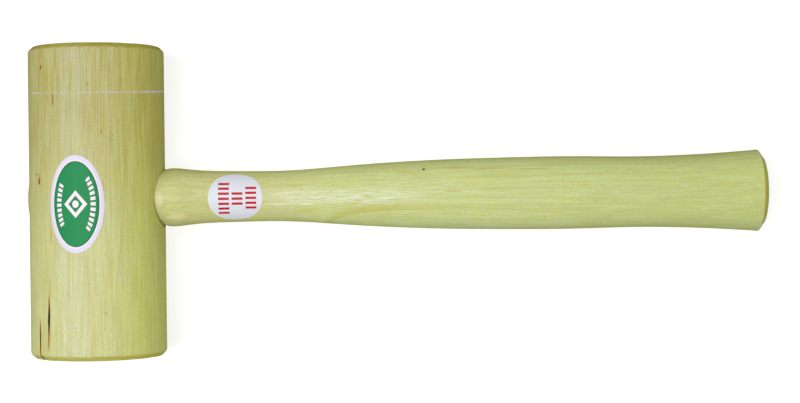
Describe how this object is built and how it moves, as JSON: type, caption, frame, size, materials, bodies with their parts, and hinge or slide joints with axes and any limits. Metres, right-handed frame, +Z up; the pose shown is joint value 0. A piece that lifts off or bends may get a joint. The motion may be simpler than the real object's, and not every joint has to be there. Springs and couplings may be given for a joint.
{
  "type": "wooden mallet",
  "caption": "Round-headed wooden mallet: turned cylindrical head, through-wedged turned handle with a narrow neck and flared butt, oval and round paper labels.",
  "frame": {"origin": "on the bench, directly under the point where the handle's axis crosses the head's axis, with the mallet lying on the side of its head", "axes": "+X along the handle from the head to the butt, +Y along the head's axis towards the nearer striking face, +Z up from the bench"},
  "size_m": [0.3468, 0.146, 0.0636],
  "materials": {
    "head_wood": "satin",
    "handle_wood": "satin",
    "wedge_wood": "matte",
    "oval_paper": "satin",
    "round_paper": "satin"
  },
  "bodies": {
    "root": {"head": "head_wood", "handle": "handle_wood", "wedge": "wedge_wood", "head_label": "oval_paper", "handle_label": "round_paper"}
  },
  "joints": []
}
